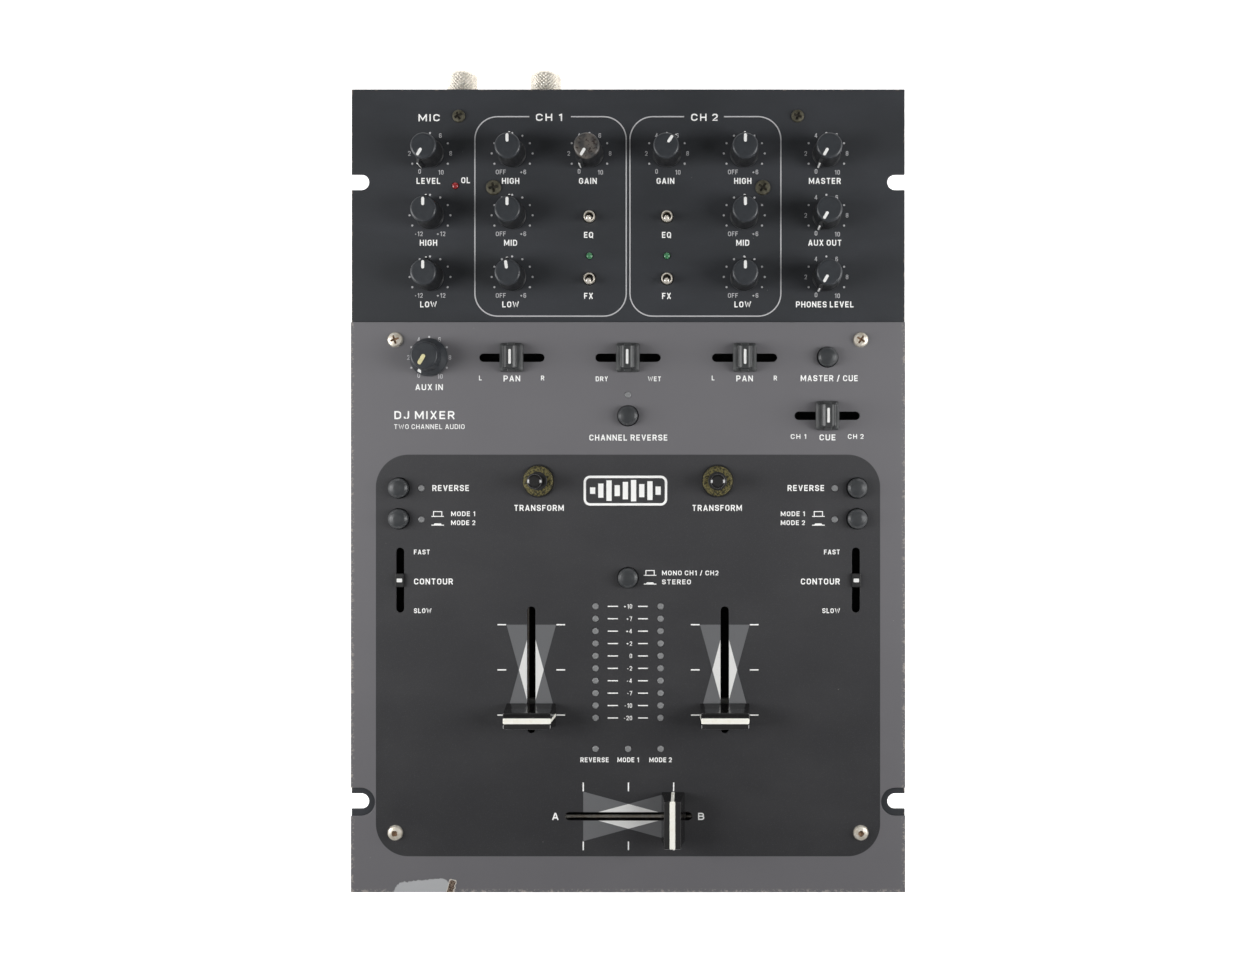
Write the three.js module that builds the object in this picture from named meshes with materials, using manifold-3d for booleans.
// Two-channel battle mixer for turntables, as the separate pieces it comes apart into.
// Millimetres. +X is the player's right, +Y the rear with the jacks, +Z up.
// The origin is on the table, under the middle of the whole outline.

import * as THREE from "three";
import { mergeVertices } from "three/addons/utils/BufferGeometryUtils.js";
import Module from "manifold-3d";

const wasm = await Module();
wasm.setup();

// ---------------------------------------------------------------- driving dimensions

// Room left between neighbours that touch on the real object.
const gap = 0.3;

// The face is a full-size steel panel with a fader plate laid over its front two thirds.
const panelWidth = 254;
const panelDepth = 368.4;
const panelThickness = 1.5;
const panelTop = 84;
const plateThickness = 1.2;
const plateRearY = 77.1;
const edgeNotch = { rearY: 141.5, frontY: -142.7, width: 7.1, depth: 8 };
const plateNotch = { width: 13, depth: 11.1 };

// The chassis hangs under the panel and is narrower than it on every side.
const chassis = { halfWidth: 113, frontY: -180, rearY: 181.2, wall: 1.2, lip: 12 };
const footHeight = 8;
const footSpacing = { x: 95, y: 160 };

// Rotary controls: three columns each side of the middle, three rows.
const outerColumn = 91;
const channelColumn = 53.3;
const gainColumn = 17.8;
const knobRows = [154.7, 126.3, 98];
const knob = { height: 16, baseRadius: 7.4, topRadius: 5.85, shaftRadius: 3 };
const auxKnob = { x: -91.1, y: 60.9, height: 12, skirtRadius: 8.9 };

// Small controls on the panel.
const toggleRows = { eq: 125.7, fx: 97.2 };
const panelLeds = [[-gainColumn, 107.7], [gainColumn, 107.7], [-79.4, 139.9]];
const toggle = { height: 7, lean: 16, bushingRadius: 2.55, bushingHeight: 2.2 };
const ledRadius = 1.45;

// Controls on the fader plate.
const panSlot = { length: 29.9, width: 3.8 };
const panSliders = {
  ch1_pan_slider: [-53.2, 60.8],
  dry_wet_slider: [0, 60.8],
  ch2_pan_slider: [53.4, 60.8],
  cue_slider: [91.2, 34.2],
};
const buttonRadius = 4.75;
const buttons = {
  cue_button: [91.4, 61.1],
  channel_reverse_button: [0, 34.2],
  left_reverse_button: [-104.9, 1.1],
  right_reverse_button: [104.9, 1.1],
  left_mode_button: [-104.9, -13],
  right_mode_button: [104.9, -13],
  stereo_button: [0, -40],
};
const plateLeds = [[0, 43.8], [-94.7, 1], [94.7, 1], [-94.7, -13.3], [94.7, -13.3]];
const transform = { x: 41, y: 4.3, nutRadius: 7.45, bushingRadius: 4, height: 16 };
const contour = { x: 104.4, y: -41.1, slotLength: 29.8, slotWidth: 3.7 };
const meter = { x: 14.9, rearY: -53.1, frontY: -104.2, rows: 10, statusY: -118.4 };
const plateScrews = { x: 106.6, rearY: 69, frontY: -156.8 };

// Long-travel faders. A cap's rest place is measured from the middle of its slot.
const faderSlot = { length: 58.1, width: 3.8 };
const channelFader = { x: 44.3, y: -82.2, rest: -20.5 };
const crossfader = { x: 0.2, y: -149.3, rest: 20.5 };
const faderCap = { length: 21.8, baseWidth: 10.8, ridgeSpacing: 7.5, height: 16.5 };

// Rear and front jacks. Heights are above the table.
const groundNut = { xs: [-81.5, -41.3], z: 54, radius: 7.25, reach: 16.3 };
const rca = { xs: [-99, -62, -24, -6, 12], zs: [47, 61], radius: 4.15, length: 9 };
const phoneJack = { boreRadius: 3.4, bushingRadius: 4.9, depth: 26, proud: 3.5 };
const rearJacks = [[38, 38], [38, 56], [60, 38], [60, 56], [82, 56]];
const powerInlet = { x: 98, z: 44, radius: 4.6, pinRadius: 1 };
const headphoneJack = { x: -80, z: 50 };

// ---------------------------------------------------------------- derived dimensions

const panelBottom = panelTop - panelThickness;
const plateBottom = panelTop + gap;
const plateTop = plateBottom + plateThickness;
const rimTop = panelBottom - gap;
const faceCentreY = -groundNut.reach / 2;
const boardTop = 67.6;
const boardThickness = 1.6;
const meterPitch = (meter.rearY - meter.frontY) / (meter.rows - 1);

// ---------------------------------------------------------------- materials

function material(color, roughness, metalness) {
  return new THREE.MeshStandardMaterial({ color, roughness, metalness });
}

const blackPaint = material(0x3d3e40, 0.6, 0.2);
const greyPaint = material(0x626265, 0.6, 0.2);
const knobPlastic = material(0x34363a, 0.5, 0);
const glossPlastic = material(0x121214, 0.2, 0);
const bareSteel = material(0xb5b1a6, 0.35, 1);
const brassNut = material(0x5b5637, 0.5, 0.7);
const nickel = material(0xd7cdbe, 0.3, 1);
const rubber = material(0x1c1c1c, 0.9, 0);
const boardGreen = material(0x2d4a33, 0.6, 0);

// ---------------------------------------------------------------- shape helpers

// Makes a closed geometry into a solid that can be cut and joined.
function solidOf(geometry) {
  const bare = geometry.clone();
  bare.deleteAttribute("normal");
  bare.deleteAttribute("uv");
  const merged = mergeVertices(bare, 1e-4);
  const vertProperties = new Float32Array(merged.attributes.position.array);
  const triVerts = new Uint32Array(merged.index.array);
  return new wasm.Manifold(new wasm.Mesh({ numProp: 3, vertProperties, triVerts }));
}

function geometryOf(solid) {
  const mesh = solid.getMesh();
  const geometry = new THREE.BufferGeometry();
  geometry.setAttribute("position", new THREE.BufferAttribute(mesh.vertProperties, 3));
  geometry.setIndex(new THREE.BufferAttribute(mesh.triVerts, 1));
  return geometry;
}

function joined(pieces) {
  return geometryOf(pieces.map(solidOf).reduce((whole, piece) => whole.add(piece)));
}

function cut(geometry, tools) {
  const start = solidOf(geometry);
  return geometryOf(tools.map(solidOf).reduce((whole, tool) => whole.subtract(tool), start));
}

// A box between two corner values on each axis.
function block([left, right], [front, rear], [bottom, top]) {
  const box = new THREE.BoxGeometry(right - left, rear - front, top - bottom);
  return box.translate((left + right) / 2, (front + rear) / 2, (bottom + top) / 2);
}

// A box by its middle and size in plan.
function blockAt([x, y], width, depth, [bottom, top]) {
  return block([x - width / 2, x + width / 2], [y - depth / 2, y + depth / 2], [bottom, top]);
}

// A solid of revolution about the upright axis. The profile is radius and height, bottom up.
function turned(profile, sides) {
  const points = profile.map(([radius, z]) => new THREE.Vector2(radius, z));
  return new THREE.LatheGeometry(points, sides).rotateX(Math.PI / 2);
}

function rod(radius, [bottom, top], sides) {
  return turned([[0, bottom], [radius, bottom], [radius, top], [0, top]], sides);
}

// Upright shapes laid down so that their top points to the rear or to the front.
const toRear = (geometry) => geometry.rotateX(-Math.PI / 2);
const toFront = (geometry) => geometry.rotateX(Math.PI / 2);

// Points of a round arc, in degrees counter-clockwise from +X.
function arc([x, y], radius, from, to, steps) {
  return Array.from({ length: steps + 1 }, (_, i) => {
    const angle = THREE.MathUtils.degToRad(from + ((to - from) * i) / steps);
    return new THREE.Vector2(x + radius * Math.cos(angle), y + radius * Math.sin(angle));
  });
}

const roundHole = (centre, radius, sides) => arc(centre, radius, 0, 360, sides).slice(0, -1);

function slotHole([x, y], length, width, alongY) {
  const reach = (length - width) / 2;
  const end = alongY ? [x, y + reach] : [x + reach, y];
  const start = alongY ? [x, y - reach] : [x - reach, y];
  const turn = alongY ? 90 : 0;
  const far = arc(end, width / 2, turn - 90, turn + 90, 4);
  return [...far, ...arc(start, width / 2, turn + 90, turn + 270, 4)];
}

function boxHole([x, y], width, depth) {
  const corners = [[-1, -1], [1, -1], [1, 1], [-1, 1]];
  return corners.map(([u, v]) => new THREE.Vector2(x + (u * width) / 2, y + (v * depth) / 2));
}

// A rectangular outline with a round-ended notch cut in from both sides at each notch height.
function notchedOutline(halfWidth, frontY, rearY, notchHeights, { width, depth }) {
  const endX = halfWidth - depth + width / 2;
  const rightNotches = notchHeights.flatMap((y) => [
    new THREE.Vector2(halfWidth, y - width / 2),
    ...arc([endX, y], width / 2, 270, 90, 6),
    new THREE.Vector2(halfWidth, y + width / 2),
  ]);
  const right = [
    new THREE.Vector2(halfWidth, frontY),
    ...rightNotches,
    new THREE.Vector2(halfWidth, rearY),
  ];
  const left = right.map((point) => new THREE.Vector2(-point.x, point.y)).reverse();
  return [...right, ...left];
}

// A straight-sided upright solid over an outline.
function prism(outline, [bottom, top]) {
  const settings = { depth: top - bottom, bevelEnabled: false };
  return new THREE.ExtrudeGeometry(new THREE.Shape(outline), settings).translate(0, 0, bottom);
}

function sheet(outline, holes, [bottom, top]) {
  const punches = holes.map((points) => prism(points, [bottom - 1, top + 1]));
  return cut(prism(outline, [bottom, top]), punches);
}

// ---------------------------------------------------------------- places on the face

const bothSides = (x, y) => [[-x, y], [x, y]];

// Name and place of every rotary control with a standard knob.
function knobPlaces() {
  const columns = [
    [-outerColumn, ["mic_level", "mic_high", "mic_low"]],
    [-channelColumn, ["ch1_high", "ch1_mid", "ch1_low"]],
    [-gainColumn, ["ch1_gain"]],
    [gainColumn, ["ch2_gain"]],
    [channelColumn, ["ch2_high", "ch2_mid", "ch2_low"]],
    [outerColumn, ["master", "aux_out", "phones"]],
  ];
  return columns.flatMap(([x, names]) => names.map((name, row) => [name, [x, knobRows[row]]]));
}

const togglePlaces = [
  ["ch1_eq_lever", [-gainColumn, toggleRows.eq]],
  ["ch1_fx_lever", [-gainColumn, toggleRows.fx]],
  ["ch2_eq_lever", [gainColumn, toggleRows.eq]],
  ["ch2_fx_lever", [gainColumn, toggleRows.fx]],
];
const transformPlaces = bothSides(transform.x, transform.y);
const contourPlaces = bothSides(contour.x, contour.y);
const channelFaderPlaces = bothSides(channelFader.x, channelFader.y);
const plateScrewPlaces = [
  ...bothSides(plateScrews.x, plateScrews.rearY),
  ...bothSides(plateScrews.x, plateScrews.frontY),
];

function meterLedPlaces() {
  const rows = Array.from({ length: meter.rows }, (_, row) => meter.rearY - row * meterPitch);
  const status = [-meter.x, 0, meter.x].map((x) => [x, meter.statusY]);
  return [...rows.flatMap((y) => bothSides(meter.x, y)), ...status];
}

// ---------------------------------------------------------------- face sheets

// The panel's openings under the fader plate are plain clearance cut-outs.
function hiddenHoles() {
  const clearWidth = 6;
  const meterMiddle = (meter.rearY + meter.frontY) / 2;
  return [
    roundHole([auxKnob.x, auxKnob.y], 4.2, 8),
    ...Object.values(panSliders).map((at) => boxHole(at, panSlot.length + 2, clearWidth)),
    ...Object.values(buttons).map((at) => roundHole(at, buttonRadius + 1, 8)),
    ...plateLeds.map((at) => roundHole(at, 2.2, 6)),
    ...transformPlaces.map((at) => roundHole(at, transform.bushingRadius + 0.8, 8)),
    ...contourPlaces.map((at) => boxHole(at, clearWidth, contour.slotLength + 2)),
    ...channelFaderPlaces.map((at) => boxHole(at, clearWidth, faderSlot.length + 2)),
    boxHole([crossfader.x, crossfader.y], faderSlot.length + 2, clearWidth),
    ...bothSides(meter.x, meterMiddle).map((at) => boxHole(at, 5, meterPitch * meter.rows)),
    boxHole([0, meter.statusY], 2 * meter.x + 5, 5),
    ...plateScrewPlaces.map((at) => roundHole(at, 2.4, 8)),
  ];
}

function topPanel() {
  const outline = notchedOutline(
    panelWidth / 2, -panelDepth / 2, panelDepth / 2, [edgeNotch.frontY, edgeNotch.rearY],
    edgeNotch);
  const holes = [
    ...knobPlaces().map(([, at]) => roundHole(at, knob.shaftRadius + 0.7, 10)),
    ...togglePlaces.map(([, at]) => roundHole(at, toggle.bushingRadius + 0.5, 10)),
    ...panelLeds.map((at) => roundHole(at, ledRadius + 0.4, 8)),
    ...hiddenHoles(),
  ];
  return sheet(outline, holes, [panelBottom, panelTop]);
}

function faderPlate() {
  const outline = notchedOutline(
    panelWidth / 2, -panelDepth / 2, plateRearY, [edgeNotch.frontY], plateNotch);
  const { length, width } = faderSlot;
  const holes = [
    roundHole([auxKnob.x, auxKnob.y], knob.shaftRadius + 0.7, 10),
    ...Object.values(panSliders).map((at) => slotHole(at, panSlot.length, panSlot.width, false)),
    ...Object.values(buttons).map((at) => roundHole(at, buttonRadius + 0.5, 12)),
    ...plateLeds.map((at) => roundHole(at, ledRadius + 0.4, 8)),
    ...transformPlaces.map((at) => roundHole(at, transform.bushingRadius + 0.5, 10)),
    ...contourPlaces.map((at) => slotHole(at, contour.slotLength, contour.slotWidth, true)),
    ...channelFaderPlaces.map((at) => slotHole(at, length, width, true)),
    slotHole([crossfader.x, crossfader.y], length, width, false),
    ...meterLedPlaces().map((at) => roundHole(at, ledRadius + 0.4, 6)),
    ...plateScrewPlaces.map((at) => roundHole(at, 2.3, 8)),
  ];
  return sheet(outline, holes, [plateBottom, plateTop]);
}

// ---------------------------------------------------------------- chassis

const rcaHousing = { width: 12, height: 28 };
const rcaMiddleZ = (rca.zs[0] + rca.zs[1]) / 2;

// Holes in the rear and front walls for the jacks.
function jackWindows() {
  const through = [chassis.rearY - 2 * chassis.wall, chassis.rearY + chassis.wall];
  const { width, height } = rcaHousing;
  const rcaWindows = rca.xs.map((x) => block(
    [x - width / 2 - gap, x + width / 2 + gap],
    through,
    [rcaMiddleZ - height / 2 - gap, rcaMiddleZ + height / 2 + gap]));
  const clearRod = (radius) => rod(radius + 0.5, [-2 * chassis.wall, 2 * chassis.wall], 12);
  const rearHoles = rearJacks.map(([x, z]) =>
    toRear(clearRod(phoneJack.bushingRadius)).translate(x, chassis.rearY, z));
  const powerHole =
    toRear(clearRod(powerInlet.radius)).translate(powerInlet.x, chassis.rearY, powerInlet.z);
  const frontHole = toFront(clearRod(phoneJack.bushingRadius))
    .translate(headphoneJack.x, chassis.frontY, headphoneJack.z);
  return [...rcaWindows, ...rearHoles, powerHole, frontHole];
}

// A folded steel tub, open at the top, with a lip front and rear that the panel screws to.
function chassisTub() {
  const { halfWidth, frontY, rearY, wall, lip } = chassis;
  const inner = halfWidth - wall;
  const shell = cut(
    block([-halfWidth, halfWidth], [frontY, rearY], [footHeight, rimTop]),
    [block([-inner, inner], [frontY + wall, rearY - wall], [footHeight + wall, rimTop + 1])]);
  const lips = [[frontY + wall / 2, frontY + lip], [rearY - lip, rearY - wall / 2]].map((ySpan) =>
    block([-halfWidth + wall / 2, halfWidth - wall / 2], ySpan, [rimTop - wall, rimTop]));
  const studs = groundNut.xs.map((x) =>
    toRear(rod(2, [-wall / 2, 10], 8)).translate(x, rearY, groundNut.z));
  return cut(joined([shell, ...lips, ...studs]), jackWindows());
}

function foot() {
  const top = footHeight - gap;
  return turned([[0, 0], [9.5, 0], [11, top], [0, top]], 16);
}

// ---------------------------------------------------------------- boards and inner units

// A switch or pot body standing on a board, sunk a little into it so that they are one piece.
const onBoard = (at, width, depth, height) =>
  blockAt(at, width, depth, [boardTop - boardThickness / 2, boardTop + height]);

const boardSlab = (xSpan, ySpan) => block(xSpan, ySpan, [boardTop - boardThickness, boardTop]);

const potHeight = 6.4;
const slidePotHeight = 7;
const switchHeight = 7.4;

function ledPost([x, y], top) {
  return rod(ledRadius, [boardTop - boardThickness / 2, top], 6).translate(x, y, 0);
}

// A lever switch's threaded bushing, hollow at the top for the lever.
function hollowBushing([x, y], outer, bore, top, depth) {
  const bottom = boardTop + switchHeight - 1;
  const profile = [
    [0, bottom], [outer, bottom], [outer, top], [bore, top], [bore, top - depth], [0, top - depth],
  ];
  return turned(profile, 12).translate(x, y, 0);
}

// Pots, toggle switches, slide pots and push switches of the rear half, on one circuit board.
function controlBoard() {
  const pots = [...knobPlaces().map(([, at]) => at), [auxKnob.x, auxKnob.y]];
  const rearButtons = Object.values(buttons).filter(([, y]) => y > 20);
  const rearLeds = plateLeds.filter(([, y]) => y > 20);
  return joined([
    boardSlab([-109, 109], [24, 164]),
    ...pots.map((at) => onBoard(at, 10, 11, potHeight)),
    ...togglePlaces.map(([, at]) => onBoard(at, 7, 10, switchHeight)),
    ...togglePlaces.map(([, at]) =>
      hollowBushing(at, toggle.bushingRadius, 1.9, panelTop + toggle.bushingHeight, 3.9)),
    ...Object.values(panSliders).map((at) => onBoard(at, 31, 8, slidePotHeight)),
    ...rearButtons.map((at) => onBoard(at, 8, 8, switchHeight)),
    ...panelLeds.map((at) => ledPost(at, panelTop + 1)),
    ...rearLeds.map((at) => ledPost(at, plateTop + 0.4)),
  ]);
}

// Push switches, lever switches, contour pots and the level meter of the front half.
function switchBoard() {
  const frontButtons = Object.values(buttons).filter(([, y]) => y < 20);
  const frontLeds = plateLeds.filter(([, y]) => y < 20);
  return joined([
    boardSlab([-110, 110], [-42, 15]),
    boardSlab([-110, -60], [-62, -41]),
    boardSlab([60, 110], [-62, -41]),
    boardSlab([-20, 20], [-124, -41]),
    ...frontButtons.map((at) => onBoard(at, 8, 8, switchHeight)),
    ...contourPlaces.map((at) => onBoard(at, 8, 34, slidePotHeight)),
    ...transformPlaces.map((at) => onBoard(at, 13, 16, switchHeight)),
    ...transformPlaces.map((at) =>
      hollowBushing(at, transform.bushingRadius, 3, plateTop + 3.2, 5)),
    ...frontLeds.map((at) => ledPost(at, plateTop + 0.4)),
    ...meterLedPlaces().map((at) => ledPost(at, plateTop + 0.4)),
  ]);
}

// A long-travel fader: an open steel channel with two rails, running along Y about the origin.
function faderUnit() {
  const halfLength = 38;
  const railSpan = [-halfLength + 1, halfLength - 1];
  const channel = cut(
    block([-6, 6], [-halfLength, halfLength], [62, rimTop]),
    [block([-4.8, 4.8], [-halfLength + 2, halfLength - 2], [63.5, rimTop + 1])]);
  const rails = [-3, 3].map((x) => block([x - 0.8, x + 0.8], railSpan, [73, 74.6]));
  return joined([channel, ...rails]);
}

// ---------------------------------------------------------------- jacks

function rcaJack(x, z) {
  const rearEnd = chassis.wall + rca.length;
  const profile = [
    [0, -2], [rca.radius, -2], [rca.radius, rearEnd], [1.6, rearEnd], [1.6, rearEnd - 8],
    [0, rearEnd - 8],
  ];
  return toRear(turned(profile, 12)).translate(x, chassis.rearY - chassis.wall, z);
}

// Five pairs of phono sockets on one upright board behind the rear wall.
function rcaJackBlock() {
  const inside = chassis.rearY - chassis.wall - gap;
  const { width, height } = rcaHousing;
  const zSpan = [rcaMiddleZ - height / 2, rcaMiddleZ + height / 2];
  const housings = rca.xs.map((x) =>
    block([x - width / 2, x + width / 2], [inside - 10, chassis.rearY + 0.6], zSpan));
  return joined([
    block([-108, 21], [inside - 11.6, inside - 9], [34, 65]),
    ...housings,
    ...rca.xs.flatMap((x) => rca.zs.map((z) => rcaJack(x, z))),
  ]);
}

// The 6.35 mm jack outputs, the microphone jack and the power inlet.
function outputJackBlock() {
  const inside = chassis.rearY - chassis.wall - gap;
  const { boreRadius, bushingRadius, depth, proud } = phoneJack;
  const mouth = chassis.rearY + proud;
  const bushings = rearJacks.map(([x, z]) =>
    toRear(rod(bushingRadius, [-1, mouth - inside], 12)).translate(x, inside, z));
  const bores = rearJacks.map(([x, z]) =>
    toRear(rod(boreRadius, [-depth, 1], 12)).translate(x, mouth, z));
  const inlet = toRear(rod(powerInlet.radius, [-1, chassis.rearY + 1 - inside], 12))
    .translate(powerInlet.x, inside, powerInlet.z);
  const inletBore = toRear(rod(powerInlet.radius - 1.2, [-9, 2], 12))
    .translate(powerInlet.x, chassis.rearY + 1, powerInlet.z);
  const inletPin = toRear(rod(powerInlet.pinRadius, [-10, 0], 8))
    .translate(powerInlet.x, chassis.rearY + 1, powerInlet.z);
  const body = joined([
    block([28, 92], [inside - 27, inside], [29, 65]),
    block([91, 105], [inside - 12, inside], [37, 51]),
    ...bushings,
    inlet,
  ]);
  return joined([cut(body, [...bores, inletBore]), inletPin]);
}

function headphoneJackUnit() {
  const inside = chassis.frontY + chassis.wall + gap;
  const { boreRadius, bushingRadius, depth, proud } = phoneJack;
  const mouth = chassis.frontY - proud;
  const { x, z } = headphoneJack;
  const bushing = toFront(rod(bushingRadius, [-1, inside - mouth], 12)).translate(x, inside, z);
  const bore = toFront(rod(boreRadius, [-depth, 1], 12)).translate(x, mouth, z);
  const body = block([x - 8, x + 8], [inside, inside + 27], [z - 8, z + 8]);
  return cut(joined([body, bushing]), [bore]);
}

// A knurled thumb nut with a blind hole that goes over the chassis stud, pointing to the rear.
function thumbNut() {
  const { radius, reach } = groundNut;
  const length = panelDepth / 2 + reach - chassis.rearY - gap;
  const profile = [
    [0, 12], [2.6, 12], [2.6, 0], [radius - 1, 0], [radius, 1], [radius, length - 1.6],
    [radius - 1.6, length], [0, length],
  ];
  return toRear(turned(profile, 16));
}

// ---------------------------------------------------------------- controls
// Each control's own zero height is the top of the sheet that it stands on.

function rotaryKnob() {
  const { height, baseRadius, topRadius, shaftRadius } = knob;
  const shaftBottom = boardTop + potHeight + gap - panelTop;
  const profile = [
    [0, shaftBottom], [shaftRadius, shaftBottom], [shaftRadius, 0.6], [baseRadius, 0.6],
    [topRadius, height - 0.9], [topRadius - 0.9, height], [0, height],
  ];
  return turned(profile, 14);
}

function skirtedKnob() {
  const shaftBottom = boardTop + potHeight + gap - plateTop;
  const { topRadius, shaftRadius } = knob;
  const { height, skirtRadius } = auxKnob;
  const profile = [
    [0, shaftBottom], [shaftRadius, shaftBottom], [shaftRadius, 0.6], [skirtRadius, 0.6],
    [skirtRadius - 0.4, 2], [topRadius + 0.9, 4], [topRadius, height], [0, height],
  ];
  return turned(profile, 16);
}

// The lever leans to the front at rest. Its own origin is its pivot.
const togglePivot = -0.2;

function toggleLever() {
  const tip = toggle.height - togglePivot;
  const profile = [
    [0, -1], [0.6, -0.6], [0.8, 0], [0.8, 2.5], [1.3, tip - 1.2], [0.9, tip - 0.2], [0, tip],
  ];
  return turned(profile, 10).rotateX(THREE.MathUtils.degToRad(toggle.lean));
}

function pushButton() {
  const plungerBottom = boardTop + switchHeight + 2.9 - plateTop;
  const profile = [
    [0, plungerBottom], [2, plungerBottom], [2, -3.4], [buttonRadius, -3.4], [buttonRadius, 2.6],
    [buttonRadius - 1.3, 3.7], [0, 4.2],
  ];
  return turned(profile, 14);
}

// A lever with a domed tip. Its own origin is its pivot.
const transformPivot = 0.2;

function transformLever() {
  const tip = transform.height - transformPivot;
  const profile = [
    [0, -0.9], [1.2, -0.6], [1.6, 0], [1.7, 4], [3.4, tip - 5], [3.9, tip - 3], [2.8, tip - 0.8],
    [0, tip],
  ];
  return turned(profile, 14);
}

// The ring nut that clamps a transform switch to the plate.
function ringNut() {
  const inner = transform.bushingRadius + gap;
  const outer = transform.nutRadius;
  const profile = [
    [inner, 0.3], [outer, 0.3], [outer, 1.9], [outer - 0.7, 2.6], [inner, 2.6], [inner, 0.3],
  ];
  return turned(profile, 18);
}

function plateScrew() {
  const profile = [
    [0, -9], [1.9, -9], [1.9, 0.2], [3.25, 0.2], [3, 1.3], [1.7, 1.9], [0, 1.9],
  ];
  return turned(profile, 10);
}

// A cap cross-section with a finger groove between two ridges, closed left to right.
function ridgedOutline(halfBase, halfRidge, height, grooveDepth) {
  const right = [
    [halfBase, 1], [halfBase - 0.3, 2], [halfRidge + 0.5, height - 0.7], [halfRidge, height],
    [halfRidge - 0.9, height - 0.2],
  ];
  const left = right.map(([x, z]) => [-x, z]).reverse();
  const outline = [...right, [0, height - grooveDepth], ...left];
  return new THREE.Shape(outline.map(([x, z]) => new THREE.Vector2(x, z)));
}

// Extrudes an upright cross-section in X and Z evenly to both sides along Y.
function alongY(shape, length) {
  const extruded = new THREE.ExtrudeGeometry(shape, { depth: length, bevelEnabled: false });
  return extruded.translate(0, 0, -length / 2).rotateX(Math.PI / 2);
}

// A cap that travels along X, with the thin blade that reaches down into the fader.
function faderCapWithBlade() {
  const { length, baseWidth, ridgeSpacing, height } = faderCap;
  const outline = ridgedOutline(baseWidth / 2, ridgeSpacing / 2 - 0.2, height, 1.3);
  const blade = block([-2.8, 2.8], [-0.9, 0.9], [70 - plateTop, 2]);
  return joined([alongY(outline, length), blade]);
}

function panSliderCap() {
  const bladeBottom = boardTop + slidePotHeight + gap - plateTop;
  return joined([
    alongY(ridgedOutline(5, 3.1, 8, 0.8), 10.3),
    block([-5.4, 5.4], [-6.65, 6.65], [0.8, 2.6]),
    block([-2, 2], [-1.2, 1.2], [bladeBottom, 1.5]),
  ]);
}

// The contour sliders are bare stems with a small head, travelling along Y.
function contourStem() {
  const bladeBottom = boardTop + slidePotHeight + gap - plateTop;
  return joined([
    block([-1.2, 1.2], [-2.4, 2.4], [bladeBottom, 1]),
    block([-2.1, 2.1], [-3.1, 3.1], [0.4, 1.5]),
  ]);
}

// ---------------------------------------------------------------- assembly

const mixer = new THREE.Group();
const face = new THREE.Group();
face.position.y = faceCentreY;
mixer.add(face);

// Adds one named piece, placed from the middle of the face.
function add(name, geometry, finish, [x, y] = [0, 0], z = 0, turn = 0) {
  const mesh = new THREE.Mesh(geometry, finish);
  mesh.name = name;
  mesh.position.set(x, y, z);
  mesh.rotation.z = turn;
  face.add(mesh);
}

const sides = ["left", "right"];
const quarterTurn = Math.PI / 2;

add("top_panel", topPanel(), blackPaint);
add("fader_plate", faderPlate(), greyPaint);
add("chassis_tub", chassisTub(), blackPaint);

const footGeometry = foot();
[-1, 1].forEach((side) => {
  add(`${side < 0 ? "left" : "right"}_front_foot`, footGeometry, rubber,
    [side * footSpacing.x, -footSpacing.y]);
  add(`${side < 0 ? "left" : "right"}_rear_foot`, footGeometry, rubber,
    [side * footSpacing.x, footSpacing.y]);
});

add("control_board", controlBoard(), boardGreen);
add("switch_board", switchBoard(), boardGreen);
const faderUnitGeometry = faderUnit();
channelFaderPlaces.forEach((at, i) =>
  add(`ch${i + 1}_fader_unit`, faderUnitGeometry, bareSteel, at));
add("crossfader_unit", faderUnitGeometry, bareSteel, [crossfader.x, crossfader.y], 0, quarterTurn);

add("rca_jack_block", rcaJackBlock(), knobPlastic);
add("output_jack_block", outputJackBlock(), knobPlastic);
add("headphone_jack", headphoneJackUnit(), knobPlastic);
const thumbNutGeometry = thumbNut();
groundNut.xs.forEach((x, i) =>
  add(`ground_nut_${i + 1}`, thumbNutGeometry, nickel, [x, chassis.rearY + gap], groundNut.z));

const knobGeometry = rotaryKnob();
knobPlaces().forEach(([name, at]) =>
  add(`${name}_knob`, knobGeometry, knobPlastic, at, panelTop));
add("aux_in_knob", skirtedKnob(), knobPlastic, [auxKnob.x, auxKnob.y], plateTop);

const toggleGeometry = toggleLever();
togglePlaces.forEach(([name, at]) =>
  add(name, toggleGeometry, bareSteel, at, panelTop + togglePivot));

const panCapGeometry = panSliderCap();
Object.entries(panSliders).forEach(([name, at]) =>
  add(name, panCapGeometry, knobPlastic, at, plateTop));

const buttonGeometry = pushButton();
Object.entries(buttons).forEach(([name, at]) =>
  add(name, buttonGeometry, knobPlastic, at, plateTop));

const leverGeometry = transformLever();
const nutGeometry = ringNut();
const contourGeometry = contourStem();
sides.forEach((side, i) => {
  const leverPivot = plateTop + transformPivot;
  add(`${side}_transform_lever`, leverGeometry, glossPlastic, transformPlaces[i], leverPivot);
  add(`${side}_transform_nut`, nutGeometry, brassNut, transformPlaces[i], plateTop);
  add(`${side}_contour_slider`, contourGeometry, knobPlastic, contourPlaces[i], plateTop);
});

const capGeometry = faderCapWithBlade();
channelFaderPlaces.forEach(([x, y], i) =>
  add(`ch${i + 1}_fader`, capGeometry, glossPlastic, [x, y + channelFader.rest], plateTop,
    quarterTurn));
add("crossfader", capGeometry, glossPlastic, [crossfader.x + crossfader.rest, crossfader.y],
  plateTop);

const screwGeometry = plateScrew();
plateScrewPlaces.forEach((at, i) =>
  add(`plate_screw_${i + 1}`, screwGeometry, bareSteel, at, plateTop));

export default mixer;
